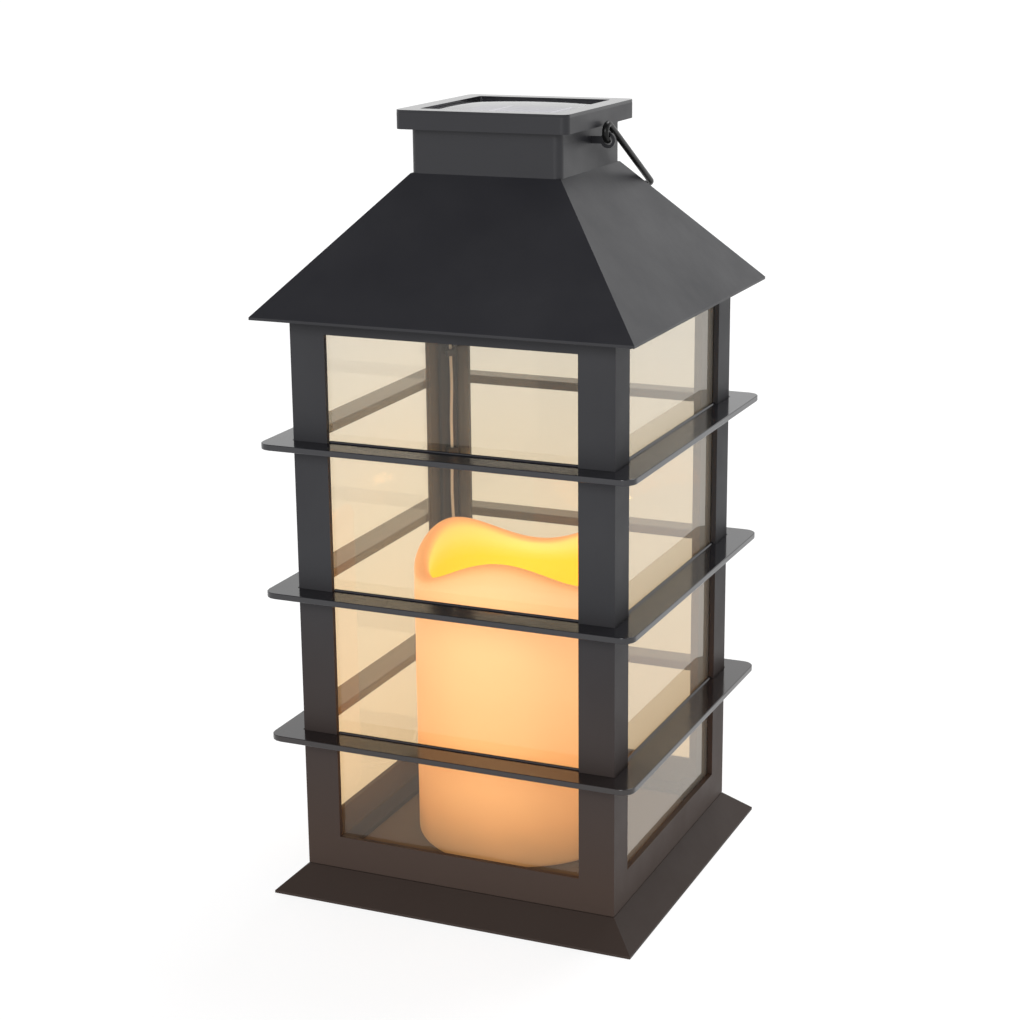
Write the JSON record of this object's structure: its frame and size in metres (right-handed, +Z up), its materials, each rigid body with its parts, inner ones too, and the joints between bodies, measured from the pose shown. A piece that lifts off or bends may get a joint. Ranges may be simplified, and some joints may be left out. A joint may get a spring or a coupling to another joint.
{
  "type": "solar candle lantern",
  "caption": "Square black plastic lantern with louvre rings, clear panes, a pillar candle light, a hipped roof with a solar cap, and a wire bail.",
  "frame": {"origin": "centre of the bottom rim of the base skirt, on the surface it stands on", "axes": "+Z up, the front pane faces -Y, the bail hinge axis runs along X"},
  "size_m": [0.1492, 0.1492, 0.2999],
  "materials": {
    "black_plastic": "satin moulded ABS",
    "clear_pane": "clear plastic sheet, slightly warm",
    "panel_cover": "clear domed resin over the dark cell",
    "zinc_steel": "zinc plated",
    "bail_wire": "gloss black coating",
    "candle_wax": "wax-like shell, lit from inside",
    "ivory_plastic": "moulded",
    "lamp_lens": "clear epoxy",
    "cell_sleeve": "shrink sleeve",
    "board": "solder mask",
    "silicon": "polished",
    "black_rubber": "matte",
    "switch_plastic": "moulded",
    "lead_jacket": "PVC"
  },
  "bodies": {
    "housing": {"base_tray": "black_plastic", "body_frame": "black_plastic", "louvre_ring_lower": "black_plastic", "louvre_ring_middle": "black_plastic", "louvre_ring_upper": "black_plastic", "window_pane_front": "clear_pane", "window_pane_right": "clear_pane", "window_pane_back": "clear_pane", "window_pane_left": "clear_pane", "corner_retainer_back_right": "black_plastic", "corner_retainer_back_left": "black_plastic", "corner_retainer_front_left": "black_plastic", "corner_retainer_front_right": "black_plastic", "roof_shell": "black_plastic", "cap_bezel": "black_plastic", "solar_board": "board", "solar_cell": "silicon", "panel_gasket": "black_rubber", "panel_cover": "panel_cover", "candle_shell": "candle_wax", "lamp_post": "ivory_plastic", "led_lamp": "lamp_lens", "lamp_leg_1": "zinc_steel", "lamp_leg_2": "zinc_steel", "module_housing": "black_plastic", "module_cover": "black_plastic", "battery_cell": "cell_sleeve", "battery_contact_1": "zinc_steel", "battery_contact_2": "zinc_steel", "battery_spring": "zinc_steel", "circuit_board": "board", "switch_body": "zinc_steel", "frame_screw_1": "zinc_steel", "frame_screw_2": "zinc_steel", "frame_screw_3": "zinc_steel", "frame_screw_4": "zinc_steel", "roof_screw_1": "zinc_steel", "roof_screw_2": "zinc_steel", "roof_screw_3": "zinc_steel", "roof_screw_4": "zinc_steel", "cap_screw_1": "zinc_steel", "cap_screw_2": "zinc_steel", "cap_screw_3": "zinc_steel", "cap_screw_4": "zinc_steel", "module_screw_1": "zinc_steel", "module_screw_2": "zinc_steel", "module_screw_3": "zinc_steel", "cover_screw_1": "zinc_steel", "cover_screw_2": "zinc_steel", "board_screw_1": "zinc_steel", "board_screw_2": "zinc_steel", "solar_lead": "lead_jacket", "lead_clip_1": "black_plastic", "lead_clip_2": "black_plastic", "lead_clip_3": "black_plastic"},
    "bail": {"bail_handle": "bail_wire"},
    "door": {"battery_door": "black_plastic"},
    "slider": {"switch_slider": "switch_plastic"}
  },
  "joints": [
    {"name": "bail_hinge", "type": "hinge", "parent": "housing", "child": "bail", "pos_m": [0, 0, 0.2907], "axis": [1, 0, 0], "range_deg": [0, 230]},
    {"name": "battery_door_hinge", "type": "hinge", "parent": "housing", "child": "door", "pos_m": [0, -0.0064, 0.00665], "axis": [-1, 0, 0], "range_deg": [0, 95]},
    {"name": "switch_slide", "type": "slide", "parent": "housing", "child": "slider", "axis": [1, 0, 0], "range_m": [0, 0.003]}
  ]
}
